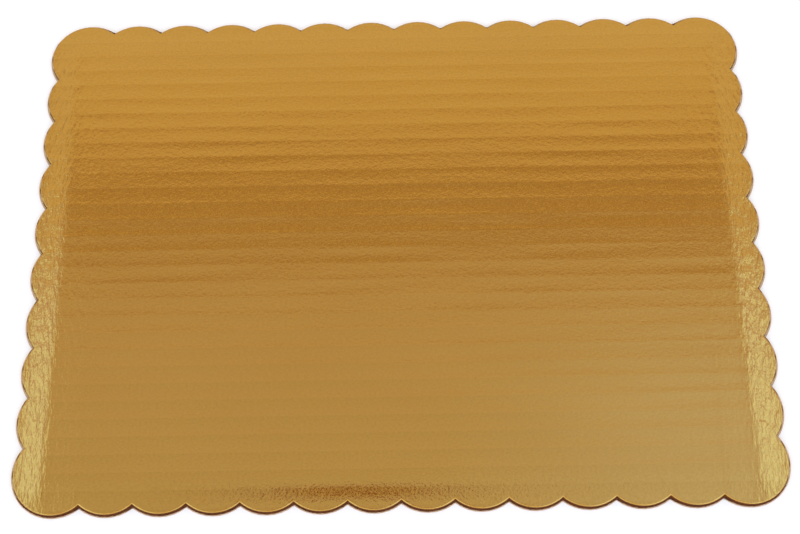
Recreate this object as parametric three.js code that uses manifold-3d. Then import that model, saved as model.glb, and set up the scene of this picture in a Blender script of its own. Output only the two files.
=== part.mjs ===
// Cake board: a scalloped pad of single-wall corrugated card with a gold foil face.
// It is die cut in one piece. Millimetres, +Z up, flutes along X, long side along X.
// The origin is the middle of the underside.
import * as THREE from "three";
import { mergeVertices } from "three/addons/utils/BufferGeometryUtils.js";
import Module from "manifold-3d";

// Overall size, measured over the tips of the lobes
const boardLength = 355.6;
const boardWidth = 254;

// Scalloped edge: equal round lobes, counted along a side with both corner lobes,
// and the facets of the whole circle that each lobe is a part of
const lobesAlongLength = 14;
const lobesAlongWidth = 10;
const lobeRadius = 20;
const lobeFacets = 24;

// Layers of the board, bottom to top: base liner, fluted medium, foil-faced liner
const boardThickness = 4;
const baseLiner = 0.3;
const mediumThickness = 0.25;
const faceLiner = 0.35;

// Flutes: straight flanks between round tips, the tips glued to the liners
const flutePitch = 8.25;
const flankAngle = THREE.MathUtils.degToRad(55);
const tipFacets = 2;

// Washboard: the face stands flat over each glued tip and sinks a little between tips
const washboardDepth = 0.06;

// Rim crushed by the cutting die. The knife drags the face in over the base, so the cut leans,
// and it rolls the foil over the top of the cut.
const crushWidth = 14;
const rimThickness = 2.5;
const knifeLean = 0.8;
const rolledEdge = 0.2;

// Course of the crush, from its inner line to the tips of the lobes:
// share of the width gone, and share of the whole drop reached there
const crushCourse = [
  { across: 0, down: 0 },
  { across: 0.25, down: 0.15 },
  { across: 0.7, down: 0.85 },
  { across: 1, down: 1 },
];

// Stock that stands outside the cut on every side before the board is die cut
const trimMargin = 5;

const foilColor = 0xb0853e;
const foilRoughness = 0.3;
const foilMetalness = 0.9;

// Heights inside the section
const mediumFloor = baseLiner;
const mediumRoof = boardThickness - faceLiner;

// Half the width of a flute's hollow where it is closed by a liner:
// neighbouring flanks are parallel and lie one medium thickness apart
const hollowHalfWidth =
  (flutePitch / 2 +
    (mediumRoof - mediumFloor) / Math.tan(flankAngle) -
    mediumThickness / Math.sin(flankAngle)) /
  2;
const hollowHeight = mediumRoof - mediumFloor - mediumThickness;

// Lobes along the long sides: spacing, and how far in the notches between them reach
const longSpacing = (boardLength - 2 * lobeRadius) / (lobesAlongLength - 1);
const longNotch = boardWidth / 2 - lobeRadius + Math.sqrt(lobeRadius ** 2 - (longSpacing / 2) ** 2);

// Hollows stop inside those notches, because the die presses the outer flutes shut
const lastHollow = longNotch - hollowHalfWidth - mediumThickness;
const hollowsEachWay = Math.floor(lastHollow / (flutePitch / 2));

const wasm = await Module();
wasm.setup();

// Closed three.js geometry as a solid that can be cut
function solidOf(geometry) {
  const bare = geometry.clone();
  bare.deleteAttribute("normal");
  bare.deleteAttribute("uv");
  const merged = mergeVertices(bare, 1e-4);
  return new wasm.Manifold(
    new wasm.Mesh({
      numProp: 3,
      vertProperties: merged.getAttribute("position").array,
      triVerts: new Uint32Array(merged.index.array),
    }),
  );
}

function geometryOf(solid) {
  const mesh = solid.getMesh();
  const geometry = new THREE.BufferGeometry();
  geometry.setAttribute("position", new THREE.BufferAttribute(mesh.vertProperties, 3));
  geometry.setIndex(new THREE.BufferAttribute(mesh.triVerts, 1));
  geometry.computeVertexNormals();
  return geometry;
}

// Share of the crush at a point, 0 inside the flat face and 1 at the tips of the lobes.
// Lines of equal crush run parallel to the sides and turn the corners on an arc.
function crushShare(x, y) {
  const pastX = Math.max(Math.abs(x) - (boardLength / 2 - crushWidth), 0);
  const pastY = Math.max(Math.abs(y) - (boardWidth / 2 - crushWidth), 0);
  const across = Math.min(Math.hypot(pastX, pastY) / crushWidth, 1);
  const next = crushCourse.findIndex((step) => step.across >= across);
  if (next === 0) return 0;
  const [near, far] = [crushCourse[next - 1], crushCourse[next]];
  return THREE.MathUtils.mapLinear(across, near.across, far.across, near.down, far.down);
}

// Height of a point of the section after the die has crushed it:
// the liners keep their thickness and the flutes between them give way
function crushedHeight(x, y, z) {
  const drop = crushShare(x, y) * (boardThickness - rimThickness);
  if (z >= mediumRoof) return z - drop;
  if (z <= mediumFloor) return z;
  return THREE.MathUtils.mapLinear(z, mediumFloor, mediumRoof, mediumFloor, mediumRoof - drop);
}

// Hollow of one flute in the Y, Z plane. Its wide side lies on a liner and its round tip
// points to the other liner: side is 1 with the wide side up, and -1 with it down.
function fluteHollow(middle, side) {
  const wide = side > 0 ? mediumRoof : mediumFloor;
  const narrow = wide - side * hollowHeight;
  const narrowHalfWidth = hollowHalfWidth - hollowHeight / Math.tan(flankAngle);
  const tipRadius = (narrowHalfWidth * Math.sin(flankAngle)) / (1 - Math.cos(flankAngle));
  const points = [new THREE.Vector2(middle + hollowHalfWidth, wide)];
  for (let i = 0; i <= tipFacets; i++) {
    const turn = flankAngle * (1 - (2 * i) / tipFacets);
    points.push(
      new THREE.Vector2(
        middle + tipRadius * Math.sin(turn),
        narrow + side * tipRadius * (1 - Math.cos(turn)),
      ),
    );
  }
  points.push(new THREE.Vector2(middle - hollowHalfWidth, wide));
  return new THREE.Shape(points);
}

// Section of the solid board: flat underside, and the washboard on top
function boardSection() {
  const flutesEachWay = Math.ceil((boardWidth / 2 + trimMargin) / flutePitch);
  const halfStock = (flutesEachWay + 0.5) * flutePitch;
  const gluedHalfWidth = flutePitch / 2 - hollowHalfWidth;
  const contour = [new THREE.Vector2(-halfStock, 0), new THREE.Vector2(halfStock, 0)];
  for (let i = flutesEachWay; i >= -flutesEachWay; i--) {
    const tip = i * flutePitch;
    contour.push(
      new THREE.Vector2(tip + flutePitch / 2, boardThickness - washboardDepth),
      new THREE.Vector2(tip + gluedHalfWidth, boardThickness),
      new THREE.Vector2(tip - gluedHalfWidth, boardThickness),
    );
  }
  contour.push(new THREE.Vector2(-halfStock, boardThickness - washboardDepth));
  return new THREE.Shape(contour);
}

// Places along X where the crush changes slope, from the left end of the stock to the right,
// with the ends standing out past the cut
function crushStations(past) {
  const rightHalf = crushCourse.map((step) => boardLength / 2 - crushWidth * (1 - step.across));
  rightHalf[rightHalf.length - 1] += past;
  const leftHalf = rightHalf.map((x) => -x).reverse();
  return [...leftHalf, ...rightHalf];
}

// A Y, Z shape carried along X, then crushed all round
function crushedRun(shape, past) {
  const stations = crushStations(past);
  const steps = stations.length - 1;
  const run = new THREE.ExtrudeGeometry(shape, { depth: steps, steps, bevelEnabled: false });
  const position = run.getAttribute("position");
  for (let i = 0; i < position.count; i++) {
    const x = stations[Math.round(position.getZ(i))];
    const y = position.getX(i);
    position.setXYZ(i, x, y, crushedHeight(x, y, position.getY(i)));
  }
  return solidOf(run);
}

// Corrugated stock: the hollows lie side by side, by turns wide side down and wide side up,
// and run out of both ends, where they are open
function corrugatedStock() {
  let stock = crushedRun(boardSection(), trimMargin);
  for (let i = -hollowsEachWay; i <= hollowsEachWay; i++) {
    const side = i % 2 === 0 ? -1 : 1;
    const hollow = fluteHollow((i * flutePitch) / 2, side);
    stock = stock.subtract(crushedRun(hollow, 2 * trimMargin));
  }
  return stock;
}

// Space over one lobe: a cone that has a given radius at a given height
// and narrows by lean for each millimetre that it rises
function coneOver(radius, height, lean) {
  const top = boardThickness + trimMargin;
  const cone = new THREE.CylinderGeometry(
    radius - (top - height) * lean,
    radius + (height + trimMargin) * lean,
    top + trimMargin,
    lobeFacets,
  );
  cone.rotateX(Math.PI / 2);
  cone.translate(0, 0, (top - trimMargin) / 2);
  return solidOf(cone);
}

// Space inside the cut. Its outline is a chain of arcs of one radius, their centres evenly
// spaced round a rectangle, with a sharp notch where neighbouring arcs cross. Its walls lean in
// from the base, and the rolled edge above them slopes at 45 degrees.
function dieCut() {
  const centreX = boardLength / 2 - lobeRadius;
  const centreY = boardWidth / 2 - lobeRadius;
  const wallTop = rimThickness - rolledEdge;
  const wall = coneOver(lobeRadius, 0, knifeLean / wallTop);
  const lobe = wall.intersect(coneOver(lobeRadius - knifeLean, wallTop, 1));
  const lobes = [];
  for (let i = 0; i < lobesAlongLength; i++) {
    const x = THREE.MathUtils.lerp(-centreX, centreX, i / (lobesAlongLength - 1));
    lobes.push(lobe.translate([x, -centreY, 0]), lobe.translate([x, centreY, 0]));
  }
  for (let i = 1; i < lobesAlongWidth - 1; i++) {
    const y = THREE.MathUtils.lerp(-centreY, centreY, i / (lobesAlongWidth - 1));
    lobes.push(lobe.translate([-centreX, y, 0]), lobe.translate([centreX, y, 0]));
  }
  const height = boardThickness + 2 * trimMargin;
  const middle = new THREE.BoxGeometry(2 * centreX, 2 * centreY, height);
  middle.translate(0, 0, height / 2 - trimMargin);
  return lobes.reduce((cut, next) => cut.add(next), solidOf(middle));
}

const foil = new THREE.MeshStandardMaterial({
  name: "gold_foil",
  color: foilColor,
  roughness: foilRoughness,
  metalness: foilMetalness,
});

const board = new THREE.Mesh(geometryOf(corrugatedStock().intersect(dieCut())), foil);
board.name = "cake_board";

const cakeBoard = new THREE.Group();
cakeBoard.add(board);

export default cakeBoard;
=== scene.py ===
import math

import bpy
import numpy as np
from mathutils import Matrix, Vector


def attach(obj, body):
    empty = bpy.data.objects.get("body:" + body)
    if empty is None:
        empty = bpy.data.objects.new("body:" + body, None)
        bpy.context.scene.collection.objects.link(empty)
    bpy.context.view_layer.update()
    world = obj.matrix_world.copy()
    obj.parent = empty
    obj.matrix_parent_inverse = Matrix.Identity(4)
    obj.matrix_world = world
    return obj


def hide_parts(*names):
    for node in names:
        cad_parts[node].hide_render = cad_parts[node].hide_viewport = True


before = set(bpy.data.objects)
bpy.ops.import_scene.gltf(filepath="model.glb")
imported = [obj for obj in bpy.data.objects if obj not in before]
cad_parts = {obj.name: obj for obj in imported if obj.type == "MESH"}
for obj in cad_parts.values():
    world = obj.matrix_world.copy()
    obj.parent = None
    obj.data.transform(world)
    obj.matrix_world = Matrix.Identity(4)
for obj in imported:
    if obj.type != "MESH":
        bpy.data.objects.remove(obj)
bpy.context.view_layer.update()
print("frame loaded:", sorted(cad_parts))

mm = 0.001
tau = 2 * math.pi

# the die-cut board: sizes in millimetres, with its outline and layers as in the frame's solid
board = dict(
    length=355.6,
    width=254.0,
    thickness=4.0,
    lobesLong=14,          # lobes along a long side, corner lobes included
    lobesShort=10,
    lobeRadius=20.0,
    baseLiner=0.3,
    medium=0.25,
    faceLiner=0.35,
    flutePitch=8.25,
    crushWidth=16.6,       # from the tips of the lobes to where the face begins to slope
    crushReach=0.91,       # share of that strip over which it slopes
    crushPower=0.92,       # below 1 the slope sets in sooner
    rimThickness=2.5,
    knifeLean=1.25,        # how far the face is dragged in over the base by the knife
    linerLedge=0.38,       # of the base liner, left standing outside the torn flutes
)
halfLength = board["length"] / 2
halfWidth = board["width"] / 2
lobeRadius = board["lobeRadius"]
centreX = halfLength - lobeRadius            # lobe centres lie round this rectangle
centreY = halfWidth - lobeRadius
spacingX = 2 * centreX / (board["lobesLong"] - 1)
spacingY = 2 * centreY / (board["lobesShort"] - 1)
mediumFloor = board["baseLiner"]
mediumRoof = board["thickness"] - board["faceLiner"]


# material helpers

# linear RGBA of an sRGB hex colour: a twelfth of the value when dark, else a power of 2.4
def srgb(hexColour):
    parts = [int(hexColour[i:i + 2], 16) / 255 for i in (1, 3, 5)]
    linear = [c / 12.92 if c <= 0.04045 else ((c + 0.055) / 1.055) ** 2.4 for c in parts]
    return (*linear, 1.0)


# one node with its settings; links gives each input a value or another node's output
def addNode(tree, kind, links=None, **settings):
    node = tree.nodes.new(kind)
    for key, value in settings.items():
        setattr(node, key, value)
    for name, value in (links or {}).items():
        if isinstance(value, bpy.types.NodeSocket):
            tree.links.new(value, node.inputs[name])
        else:
            node.inputs[name].default_value = value
    return node


# an empty material and its node tree
def newMaterial(name):
    material = bpy.data.materials.new(name)
    material.use_nodes = True
    material.node_tree.nodes.clear()
    return material, material.node_tree


# colours blended in a straight line between stops, each stop a place and a linear colour
def colourRamp(tree, factor, stops):
    node = addNode(tree, "ShaderNodeValToRGB", {"Fac": factor})
    ramp = node.color_ramp
    ramp.elements[0].position, ramp.elements[0].color = stops[0]
    ramp.elements[1].position, ramp.elements[1].color = stops[-1]
    for place, colour in stops[1:-1]:
        ramp.elements.new(place).color = colour
    return node.outputs["Color"]


# noise on object coordinates: each axis is divided by size millimetres times its own stretch
def noiseOn(tree, stretch, size, detail=3.0, roughness=0.5):
    place = addNode(tree, "ShaderNodeTexCoord").outputs["Object"]
    mapped = addNode(tree, "ShaderNodeMapping", {"Vector": place})
    mapped.inputs["Scale"].default_value = [1 / (size * mm * s) for s in stretch]
    return addNode(tree, "ShaderNodeTexNoise", {
        "Vector": mapped.outputs["Vector"], "Scale": 1.0, "Detail": detail, "Roughness": roughness,
    }).outputs["Fac"]


# gold foil: aluminium foil with a yellow lacquer, roll laminated to the liner.
# The eye gets a soft metal mirror, broken by a fine orange peel from the paper under it.
# Sizes, stretches along X and heights are in millimetres
foil = dict(
    gold="#C59643",
    deepGold="#BA8A37",
    deepBelow=0.15,        # of the tone, which runs from deep gold here
    goldAbove=0.65,        # to gold here
    mottleSize=0.8,
    mottleStretch=1.5,
    mottleShare=0.75,
    cloudSize=30,
    cloudStretch=3,
    cloudShare=0.25,
    paintedFluteBands=0.16,         # painted reflection bands on the flutes: share of the way from gold to deep gold
    roughness=0.07,
    coat=0.35,
    coatRoughness=0.06,
    orangePeelSize=1.7,
    peelStretch=1.5,       # along the flutes
    orangePeel=0.033,      # height
    grainSize=0.9,
    grain=0.036,           # height
    streakSize=1.7,
    streakStretch=3.2,
    streak=0.36,           # height
    streakFrom=4.0,        # the streaks begin this far inside the crushed strip
    streakFull=12.0,       # and are at their full height this far from the tips of the lobes
    frontCrease=1.2,       # size of the finer creases along the front and back
    frontShare=0.21,       # of the streaks' height
    rollerMark=33.0,       # from the sides: a faint band of the same streaks ends here
    rollerFade=3.0,
    rollerShare=0.25,
)


# colour: mottle plus clouds, less the way across the flute, which paints a band of reflection on each
# flute. Normal: peel, grain and creases in turn
def foilMaterial():
    material, tree = newMaterial("gold_foil_laminate")
    output = addNode(tree, "ShaderNodeOutputMaterial")
    cloud = addNode(tree, "ShaderNodeMath", {
        0: noiseOn(tree, (foil["cloudStretch"], 1, 1), foil["cloudSize"], 2), 1: foil["cloudShare"],
    }, operation="MULTIPLY")
    mottle = addNode(tree, "ShaderNodeMath", {
        0: noiseOn(tree, (foil["mottleStretch"], 1, 1), foil["mottleSize"], 1),
        1: foil["mottleShare"], 2: cloud.outputs[0],
    }, operation="MULTIPLY_ADD")
    # painted reflection bands: the gold deepens at each flute tip and pales up to the next one, standing
    # in for the light lines of the washboard
    place = addNode(tree, "ShaderNodeTexCoord").outputs["Object"]
    axes = addNode(tree, "ShaderNodeSeparateXYZ", {"Vector": place})
    flutes = addNode(tree, "ShaderNodeMath", {
        0: axes.outputs["Y"], 1: board["flutePitch"] * mm,
    }, operation="DIVIDE")
    phase = addNode(tree, "ShaderNodeMath", {0: flutes.outputs[0]}, operation="FRACT")
    tone = addNode(tree, "ShaderNodeMath", {
        0: phase.outputs[0], 1: -foil["paintedFluteBands"], 2: mottle.outputs[0],
    }, operation="MULTIPLY_ADD")
    colour = colourRamp(tree, tone.outputs[0], [
        (foil["deepBelow"], srgb(foil["deepGold"])), (foil["goldAbove"], srgb(foil["gold"])),
    ])
    shader = addNode(tree, "ShaderNodeBsdfPrincipled", {
        "Base Color": colour, "Metallic": 1.0, "Roughness": foil["roughness"],
        "Coat Weight": foil["coat"], "Coat Roughness": foil["coatRoughness"],
    })
    peel = addNode(tree, "ShaderNodeBump", {
        "Height": noiseOn(tree, (foil["peelStretch"], 1, 1), foil["orangePeelSize"], 2),
        "Strength": 1.0, "Distance": foil["orangePeel"] * mm,
    })
    grain = addNode(tree, "ShaderNodeBump", {
        "Height": noiseOn(tree, (1, 1, 1), foil["grainSize"], 2),
        "Strength": 1.0, "Distance": foil["grain"] * mm, "Normal": peel.outputs["Normal"],
    })
    frontCreases = noiseOn(tree, (1, 1, 1), foil["frontCrease"])
    sideStreaks = noiseOn(tree, (1, foil["streakStretch"], 1), foil["streakSize"])
    normal = grain.outputs["Normal"]
    # the crushed strips are creased along the side that they follow, and beside the short sides
    # a feed roller has left a fainter band of the same streaks
    mark = halfLength - foil["rollerMark"]
    rollerBand = (mark, mark + foil["rollerFade"], foil["rollerShare"])
    noBand = (0, 1, 0)
    for axis, half, creases, full, band in (
        ("X", halfLength, sideStreaks, 1.0, rollerBand),
        ("Y", halfWidth, frontCreases, foil["frontShare"], noBand),
    ):
        reach = addNode(tree, "ShaderNodeMath", {0: axes.outputs[axis]}, operation="ABSOLUTE")
        strip = (half - board["crushWidth"] - foil["streakFrom"], half - foil["streakFull"], full)
        shares = [addNode(tree, "ShaderNodeMapRange", {
            "Value": reach.outputs[0], "From Min": start * mm, "From Max": end * mm, "To Max": amount,
        }, interpolation_type="SMOOTHSTEP").outputs["Result"] for start, end, amount in (strip, band)]
        share = addNode(tree, "ShaderNodeMath", {0: shares[0], 1: shares[1]}, operation="ADD")
        height = addNode(tree, "ShaderNodeMath", {0: creases, 1: share.outputs[0]}, operation="MULTIPLY")
        normal = addNode(tree, "ShaderNodeBump", {
            "Height": height.outputs[0], "Strength": 1.0, "Distance": foil["streak"] * mm,
            "Normal": normal,
        }).outputs["Normal"]
    tree.links.new(normal, shader.inputs["Normal"])
    tree.links.new(shader.outputs["BSDF"], output.inputs["Surface"])
    return material


# kraft paper: unbleached wood pulp, machine made. The eye gets a matt brown with long fibres
kraft = dict(
    liner=("#A9825A", "#7E5B3A"),        # light and dark fibres
    cutEdgePaintedShade=("#7A3C0A", "#331502"),      # torn flutes: their own brown, painted far darker than the liner's kraft as painted shade of the flute gaps and under the lip
    paintedLitLinerEdge=("#E9C497", "#CDA06C"),    # painted highlight: the base liner's cut edge is painted much paler than its face, for the light it catches
    roughness=0.85,
    specular=0.2,          # loose fibres hardly shine
    fibreSize=0.5,         # millimetres across a bundle of fibres, coarse enough to show
    fibreStretch=6,
    fibreHeight=0.03,
    fibreRelief=0.6,       # share of that height in the bump
    darkBelow=0.3,
    lightAbove=0.7,
)


# noise drawn out along X gives both the shade of the fibres and their height
def kraftMaterial(name, shades):
    material, tree = newMaterial(name)
    output = addNode(tree, "ShaderNodeOutputMaterial")
    light, dark = (srgb(shade) for shade in shades)
    fibres = noiseOn(tree, (kraft["fibreStretch"], 1, 1), kraft["fibreSize"], 6, 0.65)
    colour = colourRamp(tree, fibres, [(kraft["darkBelow"], dark), (kraft["lightAbove"], light)])
    bump = addNode(tree, "ShaderNodeBump", {
        "Height": fibres, "Strength": kraft["fibreRelief"], "Distance": kraft["fibreHeight"] * mm,
    })
    shader = addNode(tree, "ShaderNodeBsdfPrincipled", {
        "Base Color": colour, "Roughness": kraft["roughness"], "Specular IOR Level": kraft["specular"],
        "Normal": bump.outputs["Normal"],
    })
    tree.links.new(shader.outputs["BSDF"], output.inputs["Surface"])
    return material


foilFinish = foilMaterial()
kraftFinish = kraftMaterial("kraft_liner_paper", kraft["liner"])
# the cut edge colour is partly the torn kraft's own brown and partly painted shade
shadedCutFinish = kraftMaterial("kraft_cut_edge_painted_shade", kraft["cutEdgePaintedShade"])
# the pale colour paints the highlight on the lit edge of the base liner
paintedLitLinerEdge = kraftMaterial("liner_edge_painted_highlight", kraft["paintedLitLinerEdge"])
print("materials made")


# shape helpers

# a mesh object from points in millimetres; finishOf gives each face its material's number
def meshPiece(name, points, faces, finishes, finishOf=None, creaseAngle=40):
    mesh = bpy.data.meshes.new(name)
    polygons = [polygon for group in faces for polygon in group.tolist()]
    mesh.from_pydata((np.asarray(points) * mm).tolist(), [], polygons)
    for finish in finishes:
        mesh.materials.append(finish)
    if finishOf is not None:
        mesh.polygons.foreach_set("material_index", np.asarray(finishOf, dtype=np.int32))
    mesh.polygons.foreach_set("use_smooth", np.ones(len(mesh.polygons), dtype=bool))
    mesh.set_sharp_from_angle(angle=math.radians(creaseAngle))
    mesh.validate()
    mesh.update()
    piece = bpy.data.objects.new(name, mesh)
    bpy.context.scene.collection.objects.link(piece)
    return piece


# quads of a grid of vertex numbers: each place, then the next ones along the first axis and the second
def gridQuads(number):
    return np.stack([
        number[:-1, :-1], number[1:, :-1], number[1:, 1:], number[:-1, 1:],
    ], axis=-1).reshape(-1, 4)


# quads between two loops of the same count, each place joined to the next
def ringFaces(inner, outer):
    return np.stack([inner, outer, np.roll(outer, -1), np.roll(inner, -1)], axis=1)


# vertex numbers round the edge of a grid, anticlockwise from its first corner
def gridLoop(number):
    return np.concatenate([number[:-1, 0], number[-1, :-1], number[:0:-1, -1], number[0, :0:-1]])


# lobe number, and angle from the side's outward direction, for the points of one side. A lobe
# runs between two notches, where half the spacing is the radius times the sine of the angle.
# The corner lobes are cut at their diagonal
def sideAngles(spacing, lobes, inset, perLobe, perCorner):
    toNotch = math.asin(spacing / 2 / (lobeRadius - inset))
    first = np.linspace(-math.pi / 4, toNotch, perCorner + 1)[:-1]
    middle = np.linspace(-toNotch, toNotch, perLobe + 1)[:-1]
    last = np.linspace(-toNotch, math.pi / 4, perCorner + 1)
    number = np.concatenate([
        np.zeros(perCorner), np.repeat(np.arange(1, lobes - 1), perLobe),
        np.full(perCorner + 1, lobes - 1),
    ])
    angle = np.concatenate([first, np.tile(middle, lobes - 2), last])
    return number, angle


# the scalloped outline drawn in by inset, anticlockwise from the front left diagonal:
# centre of the lobe plus its shrunken radius turned by the angle
def scallop(inset, settings):
    radius = lobeRadius - inset
    loops = []
    sides = [
        (spacingX, board["lobesLong"], settings["perLobeX"], (-centreX, -centreY), (1, 0), (0, -1)),
        (spacingY, board["lobesShort"], settings["perLobeY"], (centreX, -centreY), (0, 1), (1, 0)),
        (spacingX, board["lobesLong"], settings["perLobeX"], (centreX, centreY), (-1, 0), (0, 1)),
        (spacingY, board["lobesShort"], settings["perLobeY"], (-centreX, centreY), (0, -1), (-1, 0)),
    ]
    for spacing, lobes, perLobe, start, ahead, out in sides:
        number, angle = sideAngles(spacing, lobes, inset, perLobe, settings["perCorner"])
        ahead, out = np.array(ahead), np.array(out)
        centre = np.array(start) + number[:, None] * spacing * ahead
        points = centre + radius * (np.sin(angle)[:, None] * ahead + np.cos(angle)[:, None] * out)
        loops.append(points[:-1])
    return np.concatenate(loops)


# column places along X and row places along Y of the flat inner grid. Each one faces a point of
# the outline, the corner lobes share what is left up to the grid's corner, and the rows nearest
# to the flute tips, half a pitch apart, are moved onto them
def innerLines(settings):
    lines = []
    for spacing, lobes, perLobe, centre, half in (
        (spacingX, board["lobesLong"], settings["perLobeX"], centreX, halfLength),
        (spacingY, board["lobesShort"], settings["perLobeY"], centreY, halfWidth),
    ):
        corner = settings["perCorner"]
        number, angle = sideAngles(spacing, lobes, 0, perLobe, corner)
        place = -centre + number * spacing + lobeRadius * np.sin(angle)
        edge, notch = half - settings["margin"], centre - spacing / 2
        place[:corner + 1] = np.linspace(-edge, -notch, corner + 1)
        place[-corner - 1:] = np.linspace(notch, edge, corner + 1)
        lines.append(place)
    rows = lines[1]
    tipSpacing = board["flutePitch"] / 2
    tips = np.arange(-(halfWidth // tipSpacing), halfWidth // tipSpacing + 1) * tipSpacing
    tips = tips[np.abs(tips) < rows[-1] - 1]
    rows[np.abs(rows[:, None] - tips).argmin(axis=0)] = tips
    return lines


# 0 on the flat face, 1 at the tips of the lobes: s * s * (3 - 2 * s), where s is the way across
# the sloping strip to the crush power. The strip turns the corners on an arc
def crushShare(x, y):
    pastX = np.maximum(np.abs(x) - (halfLength - board["crushWidth"]), 0)
    pastY = np.maximum(np.abs(y) - (halfWidth - board["crushWidth"]), 0)
    way = np.minimum(np.hypot(pastX, pastY) / (board["crushReach"] * board["crushWidth"]), 1)
    across = way ** board["crushPower"]
    return across * across * (3 - 2 * across)


# the crush share of what the die takes off the thickness
def faceDrop(x, y):
    return crushShare(x, y) * (board["thickness"] - board["rimThickness"])


# underside of the face liner: the roof of the flutes, less the crush
def roofHeight(x, y):
    return mediumRoof - faceDrop(x, y)


# sum of random sine waves over patches of sizeX by sizeY millimetres, about -1 to 1
def smoothNoise(x, y, sizeX, sizeY, seed, waves=24):
    rng = np.random.default_rng(seed)
    total = np.zeros(np.broadcast(x, y).shape)
    for _ in range(waves):
        turn, phase = rng.uniform(0, tau), rng.uniform(0, tau)
        stretch = rng.uniform(0.6, 1.4)
        along = x * math.cos(turn) / sizeX + y * math.sin(turn) / sizeY
        total += np.sin(tau * stretch * along + phase)
    return total / math.sqrt(waves) / 1.6


# what both liners share in the way their sheets are laid out
sheet = dict(
    ringBias=1.4,          # above 1 the rings crowd toward the edge
    lipSteps=5,
    tuck=0.06,             # the cut of the paper stands in under its own lip
    underLip=2.2,          # lip widths in to where the hidden side lies flat
    underDroop=0.4,        # share of the lip's depth left one lip width in
    innerRing=0.6,         # of the way out to there
)


# a thin scalloped sheet. The shown side is a fine grid inside and rings from it to the outline;
# the edge goes round the lip on a quarter ellipse; the hidden side is a few rings and one
# flat polygon. Facing is 1 with the shown side up and -1 with it down
def sheetPiece(name, settings, shown, hidden, edgeInset, finishes, facing):
    lipWidth, lipDepth = settings["lipWidth"], settings["lipDepth"]
    xs, ys = innerLines(settings)
    gridX, gridY = np.meshgrid(xs, ys, indexing="ij")
    points = [np.stack([gridX, gridY, shown(gridX, gridY)], axis=-1).reshape(-1, 3)]
    number = np.arange(gridX.size).reshape(gridX.shape)
    loop = gridLoop(number)
    start = points[0][loop][:, :2]
    count = gridX.size
    faces = [gridQuads(number)]
    finishOf = [np.zeros(len(faces[0]))]

    # a ring of points joined to the last one
    def addLoop(flat, heights, finish):
        nonlocal loop, count
        ring = np.arange(count, count + len(flat))
        points.append(np.column_stack([flat, heights]))
        faces.append(ringFaces(loop, ring))
        finishOf.append(np.full(len(ring), finish))
        loop, count = ring, count + len(ring)

    edge = scallop(edgeInset + lipWidth, settings)
    for way in np.linspace(0, 1, settings["rings"] + 1)[1:]:
        flat = start + (edge - start) * (1 - (1 - way) ** sheet["ringBias"])
        addLoop(flat, shown(*flat.T), 0)
    for turn in np.linspace(0, math.pi / 2, sheet["lipSteps"] + 1)[1:]:
        flat = scallop(edgeInset + lipWidth * (1 - math.sin(turn)), settings)
        addLoop(flat, shown(*flat.T) - facing * lipDepth * (1 - math.cos(turn)), 0)
    underWidth = sheet["underLip"] * lipWidth
    for inset, droop in ((sheet["tuck"], 1.0), (lipWidth, sheet["underDroop"]), (underWidth, 0.0)):
        flat = scallop(edgeInset + inset, settings)
        addLoop(flat, hidden(*flat.T) - facing * lipDepth * droop, 1)
    flat = start + (scallop(edgeInset + underWidth, settings) - start) * sheet["innerRing"]
    addLoop(flat, hidden(*flat.T), 1)
    addLoop(start, hidden(*start.T), 1)
    faces.append(loop[None, ::-1])
    if facing < 0:
        faces = [group[:, ::-1] for group in faces]
    finishOf.append(np.ones(1))
    return meshPiece(name, np.concatenate(points), faces, finishes, np.concatenate(finishOf))


# face liner: a sheet whose upper side carries the foil, flat inside and crushed all round
face = dict(
    perLobeX=12, perLobeY=32, perCorner=16,
    margin=19.0,           # of the inner grid, from the tips of the lobes
    rings=14,              # across the crushed strip
    washboard=0.035,       # how far the face sinks between glued flute tips
    washboardTilt=0.7,     # share more than that at the front edge, and less at the back
    washboardSpread=0.35,  # share by which it comes and goes
    washboardPatch=(90, 14),
    unevenness=0.012,      # slow change of height along the flutes
    unevennessPatch=(70, 9),
    rimPressed=0.85,       # share of all this that the die presses out
    lipWidth=0.75,         # the knife rolls the foil over its edge
    lipDepth=0.45,
)


# top of the foil: board thickness, less the crush, less the washboard (a sag from each glued
# tip to the next, 1 - (2 * t) ** 2 of the way t from the middle), plus slow unevenness
def faceHeight(x, y):
    flat = 1 - face["rimPressed"] * crushShare(x, y)
    spread = face["washboardSpread"] * smoothNoise(x, y, *face["washboardPatch"], 3)
    amount = face["washboard"] * (1 + spread) * (1 - face["washboardTilt"] * y / halfWidth)
    t = np.mod(y / board["flutePitch"], 1) - 0.5
    ripple = amount * (1 - (2 * t) ** 2)
    slow = face["unevenness"] * smoothNoise(x, y, *face["unevennessPatch"], 5)
    return board["thickness"] - faceDrop(x, y) - flat * (ripple - slow)


faceSheet = sheetPiece(
    "face_liner_with_foil", face, faceHeight, roofHeight, board["knifeLean"], [foilFinish, shadedCutFinish], 1,
)
print("face liner made")


# base liner: the same outline, kraft side down, with a fainter washboard
base = dict(
    perLobeX=8, perLobeY=16, perCorner=12,
    margin=19.0,
    rings=5,
    washboard=0.03,
    lipWidth=0.15,
    lipDepth=0.06,
)


# underside of the board: it rests on the table along the glued tips, half a pitch away from the
# ones above, and lifts between them by half the washboard times one plus a cosine
def baseHeight(x, y):
    ripple = base["washboard"] * (1 + np.cos(tau * y / board["flutePitch"])) / 2
    return ripple * (1 - crushShare(x, y))


# upper side of the base liner: level with the floor of the flutes everywhere
def baseTop(x, y):
    return np.full(np.shape(x), mediumFloor)


baseSheet = sheetPiece("base_liner", base, baseHeight, baseTop, 0.0, [kraftFinish, paintedLitLinerEdge], -1)
print("base liner made")


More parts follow.
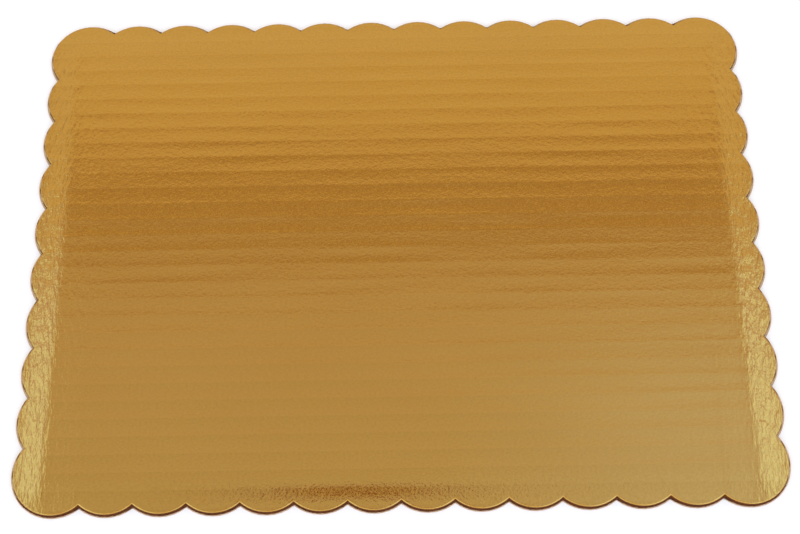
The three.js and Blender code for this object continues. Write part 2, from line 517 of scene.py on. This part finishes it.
# fluted medium: one sheet waved between the liners, open at both short ends
fluted = dict(
    perFlute=16,
    endPlaces=(0.0, 0.6, 1.5, 3, 5, 7.5, 10, 13, 16, 20),   # distances in from the cut end
    raggedness=0.25,
    tearSize=3,            # along the cut
    endLean=0.7,           # share of the knife's lean at the flutes' mid height
    notchClearance=3.4,    # the last flute tip stays this far inside the notches
)
notchY = centreY + math.sqrt(lobeRadius ** 2 - (spacingX / 2) ** 2)
lastTip = math.floor((notchY - fluted["notchClearance"]) / (board["flutePitch"] / 2))
mediumReach = lastTip * board["flutePitch"] / 2 + board["flutePitch"] / 4


# half length of the board at y: centre of the nearest end lobe plus its chord there
def endReach(y, inset):
    lobe = np.clip(np.round((y + centreY) / spacingY), 0, board["lobesShort"] - 1)
    nearest = lobe * spacingY - centreY
    return centreX + np.sqrt((lobeRadius - inset) ** 2 - (y - nearest) ** 2)


# two grids of the same size, joined by a strip round their edges. Rows run along Y
def closedSlab(name, top, bottom, finishes):
    count = top.shape[0] * top.shape[1]
    number = np.arange(count).reshape(top.shape[:2])
    down = gridQuads(number)
    loop = gridLoop(number)[::-1]
    faces = [down[:, ::-1], down + count, ringFaces(loop, loop + count)]
    points = np.concatenate([top.reshape(-1, 3), bottom.reshape(-1, 3)])
    return meshPiece(name, points, faces, finishes, creaseAngle=60)


# middle line: a cosine over the root of a half plus half its square, which gives round tips and
# steep flanks. Each side lies half the paper away along the normal, and the crush squashes
# its height in proportion
def flutedMedium():
    pitch, half = board["flutePitch"], board["medium"] / 2
    count = int(round(2 * mediumReach / pitch * fluted["perFlute"]))
    y = np.linspace(-mediumReach, mediumReach, count + 1)
    wave = np.cos(tau * y / pitch)
    wave = wave / np.sqrt(0.5 + 0.5 * wave ** 2)
    middle, swing = (mediumFloor + mediumRoof) / 2, (mediumRoof - mediumFloor - 2 * half) / 2
    z = middle + swing * wave
    slope = np.gradient(z, y)
    normal = np.stack([-slope, np.ones_like(slope)]) / np.hypot(slope, 1)
    tear = smoothNoise(y, 0 * y, fluted["tearSize"], fluted["tearSize"], 11)
    rag = fluted["raggedness"] * (tear * 0.5 + 0.5)
    reach = endReach(y, board["knifeLean"] * fluted["endLean"]) - rag
    near = np.array(fluted["endPlaces"])
    x = np.concatenate([-(reach[:, None] - near), reach[:, None] - near[::-1]], axis=1)
    sides = []
    for side in (1, -1):
        sideY = np.broadcast_to((y + side * half * normal[0])[:, None], x.shape)
        sideZ = np.broadcast_to((z + side * half * normal[1])[:, None], x.shape)
        squash = (roofHeight(x, sideY) - mediumFloor) / (mediumRoof - mediumFloor)
        sides.append(np.stack([x, sideY, mediumFloor + (sideZ - mediumFloor) * squash], axis=-1))
    return closedSlab("fluted_medium", sides[0], sides[1], [shadedCutFinish])


medium = flutedMedium()
print("fluted medium made")


# pressed edge: along the long sides the die shuts the flutes, and the cut shows torn layers
pressed = dict(
    perLobe=40,
    wallRings=7,
    raggedness=0.22,
    tearPatch=(2.2, 1.5),  # of the torn papers, along the cut and down it
    tearDrift=4.0,         # how much the tear changes from the top of the cut to its foot
    sink=0.12,             # every other layer is torn a little deeper
    topUnderLip=0.6,       # share of the lip's depth that the wall starts under
    innerPast=14.0,        # the hidden side ends this far past the corner lobes' centres
    overlap=0.05,          # onto the medium
    roofGap=0.02,
    floorGap=0.01,
)


# band between the liners from the medium to the cut: a closed profile carried along the
# outline, its wall leaning from under the lip out to the base and torn by noise
def pressedEdge(name, side):
    lobes, perLobe = board["lobesLong"], pressed["perLobe"]
    turnEnd = math.acos((mediumReach - centreY) / lobeRadius)
    toNotch = math.asin(spacingX / 2 / lobeRadius)
    angle = np.concatenate([
        np.linspace(-turnEnd, toNotch, 2 * perLobe + 1)[:-1],
        np.tile(np.linspace(-toNotch, toNotch, perLobe + 1)[:-1], lobes - 2),
        np.linspace(-toNotch, turnEnd, 2 * perLobe + 1),
    ])
    number = np.concatenate([
        np.zeros(2 * perLobe), np.repeat(np.arange(1, lobes - 1), perLobe),
        np.full(2 * perLobe + 1, lobes - 1),
    ])
    lobeX = -centreX + number * spacingX
    outline = np.stack([lobeX + lobeRadius * np.sin(angle), lobeRadius * np.cos(angle)])
    along = np.cumsum(np.r_[0, np.hypot(*np.diff(outline))])
    innerY = mediumReach - pressed["overlap"]

    # the outline drawn in by inset, and never further in than the hidden side
    def lineAt(inset):
        radius = lobeRadius - inset
        return lobeX + radius * np.sin(angle), np.maximum(centreY + radius * np.cos(angle), innerY)

    hiddenEnd = centreX + pressed["innerPast"]
    hiddenX = np.linspace(-hiddenEnd, hiddenEnd, len(lobeX))
    hiddenY = np.full_like(hiddenX, innerY)
    floor = mediumFloor + pressed["floorGap"]
    profile = [(hiddenX, hiddenY, roofHeight(hiddenX, hiddenY) - pressed["roofGap"])]
    for i, down in enumerate(np.linspace(0, 1, pressed["wallRings"])):
        drift = 0 * along + pressed["tearDrift"] * down
        tear = smoothNoise(along, drift, *pressed["tearPatch"], 21 + i)
        tear = pressed["raggedness"] * (0.5 + 0.5 * tear)
        groove = pressed["sink"] * (i % 2)
        x, y = lineAt(max(board["knifeLean"] * (1 - down), board["linerLedge"]) + tear + groove)
        top = roofHeight(x, y) - face["lipDepth"] * pressed["topUnderLip"]
        profile.append((x, y, top + (floor - top) * down))
    profile.append((hiddenX, hiddenY, np.full_like(hiddenX, floor)))
    grid = np.stack([np.stack(line, axis=-1) for line in profile])
    grid = grid[:, ::-1] if side > 0 else grid * np.array([1, -1, 1])
    vertex = np.arange(grid.shape[0] * grid.shape[1]).reshape(grid.shape[:2])
    walls = gridQuads(np.concatenate([vertex, vertex[:1]]))
    ends = [vertex[:, 0][None, ::-1], vertex[:, -1][None, :]]
    return meshPiece(name, grid.reshape(-1, 3), [walls, *ends], [shadedCutFinish], creaseAngle=50)


frontEdge = pressedEdge("pressed_edge_front", -1)
backEdge = pressedEdge("pressed_edge_back", 1)
print("pressed edges made")

for piece, slot in (
    (faceSheet, "gold_foil"), (baseSheet, "kraft_board"), (medium, "kraft_board"),
    (frontEdge, "kraft_board"), (backEdge, "kraft_board"),
):
    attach(piece, "root")
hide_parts("cake_board")


# table: white laminate, matt. The eye gets an even white, and its warm tint meets the cool light of
# the surround, so that the board's shadow on it is neutral
stage = dict(
    tableSize=6.0,         # metres
    tableDrop=0.03,        # millimetres below the board, so that the two never share a plane
    tableColour="#F9EBD6",
    tableGlow=0.07,        # seen by the camera only
)


# a square a little below the board, lit as it is, plus a faint glow
def makeTable():
    half = stage["tableSize"] / 2
    mesh = bpy.data.meshes.new("table_top")
    corners = [(-half, -half), (half, -half), (half, half), (-half, half)]
    mesh.from_pydata([(x, y, -stage["tableDrop"] * mm) for x, y in corners], [], [(0, 1, 2, 3)])
    material, tree = newMaterial("white_laminate")
    output = addNode(tree, "ShaderNodeOutputMaterial")
    matt = addNode(tree, "ShaderNodeBsdfDiffuse", {"Color": srgb(stage["tableColour"])})
    path = addNode(tree, "ShaderNodeLightPath")
    glow = addNode(tree, "ShaderNodeMath", {
        0: path.outputs["Is Camera Ray"], 1: stage["tableGlow"],
    }, operation="MULTIPLY")
    light = addNode(tree, "ShaderNodeEmission", {"Color": (1, 1, 1, 1), "Strength": glow.outputs[0]})
    both = addNode(tree, "ShaderNodeAddShader", {0: matt.outputs["BSDF"], 1: light.outputs["Emission"]})
    tree.links.new(both.outputs["Shader"], output.inputs["Surface"])
    mesh.materials.append(material)
    table = bpy.data.objects.new("table_top", mesh)
    bpy.context.scene.collection.objects.link(table)


# surround: light by direction, in slopes (sideways and backwards for one unit up).
# Each pair of slopes is where a light begins and where it is full, or gone
surround = dict(
    strength=1.25,
    lowStrength=0.8,       # near the horizon
    lowering=(1.2, 3.5),
    fromFront=(            # slope backwards and the light's colour there
        (0.05, "#D3D5DC"), (0.17, "#D3D4DC"), (0.27, "#D6D4DB"), (0.32, "#D5D0D3"), (0.35, "#D5CECA"),
        (0.385, "#CDC1B5"), (0.41, "#B89F86"), (0.44, "#B59D83"), (0.452, "#DECFB7"),
        (0.50, "#E3D7C0"), (0.541, "#E4DCCA"), (0.574, "#E5E0D3"), (0.60, "#E9E5DA"),
    ),
    sideLight=(0.42, 0.90, 1.80), sideEdge=(0.32, 0.62), sideEnd=(1.2, 1.8), sideBack=(0.32, 0.52),
    coolLight=(0.11, 0.28, 0.80), coolEdge=(0.0, 0.32), coolBack=(0.15, 0.38),
    coolEnd=(0.38, 0.55), coolLeft=0.3,
    frontLight=(0.9, 0.8, 0.7), frontEdge=(-0.7, -0.45), frontEnd=(-1.3, -1.0),
    steepest=0.05,         # height at which the slopes stop growing
    background="#FFFFFF",
    camera="#842C12", cameraSlope=(-0.04, -0.16), cameraSize=(0.065, 0.065), cameraEdge=(0.7, 1.1),
)


# world light: the ramp from front to back, plus each panel's colour times its share, with the
# dark ellipse of the camera mixed in, all dimmed toward the horizon
def makeSurround():
    world = bpy.data.worlds.new("studio")
    bpy.context.scene.world = world
    world.use_nodes = True
    tree = world.node_tree
    tree.nodes.clear()
    output = addNode(tree, "ShaderNodeOutputWorld")
    ray = addNode(tree, "ShaderNodeTexCoord").outputs["Generated"]
    axes = addNode(tree, "ShaderNodeSeparateXYZ", {"Vector": ray})

    def maths(operation, a, b=0.0):
        return addNode(tree, "ShaderNodeMath", {0: a, 1: b}, operation=operation).outputs[0]

    # s * s * (3 - 2 * s) of the way from start to end, where s is the way across the span
    def ease(value, span, start=0.0, end=1.0):
        return addNode(tree, "ShaderNodeMapRange", {
            "Value": value, "From Min": span[0], "From Max": span[1], "To Min": start, "To Max": end,
        }, interpolation_type="SMOOTHSTEP").outputs["Result"]

    # length of the slope that two numbers make
    def lengthOf(a, b):
        return maths("SQRT", maths("ADD", maths("MULTIPLY", a, a), maths("MULTIPLY", b, b)))

    # colour times share, on top of what is there
    def addLight(total, colour, share):
        share = maths("DIVIDE", share, surround["strength"])
        return addNode(tree, "ShaderNodeVectorMath", {0: share, 1: colour, 2: total},
                       operation="MULTIPLY_ADD").outputs[0]

    up = maths("MAXIMUM", axes.outputs["Z"], surround["steepest"])
    sideways = maths("DIVIDE", axes.outputs["X"], up)
    backwards = maths("DIVIDE", axes.outputs["Y"], up)
    total = colourRamp(tree, backwards, [(place, srgb(colour)) for place, colour in surround["fromFront"]])
    # panels at both sides
    far = maths("ABSOLUTE", sideways)
    side = maths("MULTIPLY", ease(far, surround["sideEdge"]), ease(far, surround["sideEnd"], 1.0, 0.0))
    side = maths("MULTIPLY", side, ease(backwards, surround["sideBack"], 1.0, 0.0))
    total = addLight(total, surround["sideLight"], side)
    # cool light at the front right
    cool = maths("MULTIPLY", ease(sideways, surround["coolEdge"]),
                 ease(backwards, surround["coolBack"], 1.0, 0.0))
    cool = maths("MULTIPLY", cool, ease(sideways, surround["coolEnd"], 1.0, surround["coolLeft"]))
    total = addLight(total, surround["coolLight"], cool)
    # light from the front, caught by the rolled edge of the foil
    front = maths("MULTIPLY", ease(backwards, surround["frontEdge"], 1.0, 0.0),
                  ease(backwards, surround["frontEnd"]))
    total = addLight(total, surround["frontLight"], front)
    (slopeX, slopeY), (sizeX, sizeY) = surround["cameraSlope"], surround["cameraSize"]
    away = lengthOf(maths("DIVIDE", maths("SUBTRACT", sideways, slopeX), sizeX),
                    maths("DIVIDE", maths("SUBTRACT", backwards, slopeY), sizeY))
    shade = addNode(tree, "ShaderNodeMix", {
        "Factor": ease(away, surround["cameraEdge"], 1.0, 0.0), 6: total, 7: srgb(surround["camera"]),
    }, data_type="RGBA").outputs[2]
    strength = ease(lengthOf(sideways, backwards), surround["lowering"],
                    surround["strength"], surround["lowStrength"])
    light = addNode(tree, "ShaderNodeBackground", {"Color": shade, "Strength": strength})
    # the camera itself sees plain white
    plain = addNode(tree, "ShaderNodeBackground", {"Color": srgb(surround["background"]), "Strength": 1.0})
    path = addNode(tree, "ShaderNodeLightPath")
    both = addNode(tree, "ShaderNodeMixShader", {
        0: path.outputs["Is Camera Ray"], 1: light.outputs["Background"], 2: plain.outputs["Background"],
    })
    tree.links.new(both.outputs["Shader"], output.inputs["Surface"])


# the photograph's view, from a fit of the scalloped outline: millimetres, degrees, pixels
view = dict(
    target=(1.09, -9.2, 0.0), distance=556.27,
    azimuth=-0.169, elevation=70.415, roll=-0.777,
    focalPixels=1147.0, imageWidth=800, sensor=36.0,
)


# the camera stands back from the target along azimuth and elevation, and rolls about that line
def makeCamera():
    azimuth, elevation, roll = (math.radians(view[key]) for key in ("azimuth", "elevation", "roll"))
    back = Vector((
        math.sin(azimuth) * math.cos(elevation), -math.cos(azimuth) * math.cos(elevation),
        math.sin(elevation),
    ))
    level = Vector((math.cos(azimuth), math.sin(azimuth), 0))
    upright = back.cross(level)
    right = math.cos(roll) * level + math.sin(roll) * upright
    up = -math.sin(roll) * level + math.cos(roll) * upright
    data = bpy.data.cameras.new("camera")
    data.sensor_width = view["sensor"]
    data.lens = view["focalPixels"] * view["sensor"] / view["imageWidth"]
    camera = bpy.data.objects.new("camera", data)
    bpy.context.scene.collection.objects.link(camera)
    place = (Vector(view["target"]) + back * view["distance"]) * mm
    turn = Matrix((right, up, back)).transposed().to_4x4()
    camera.matrix_world = Matrix.Translation(place) @ turn
    bpy.context.scene.camera = camera


makeTable()
makeSurround()
makeCamera()
bpy.context.scene.view_settings.view_transform = "Standard"
print("stage made")
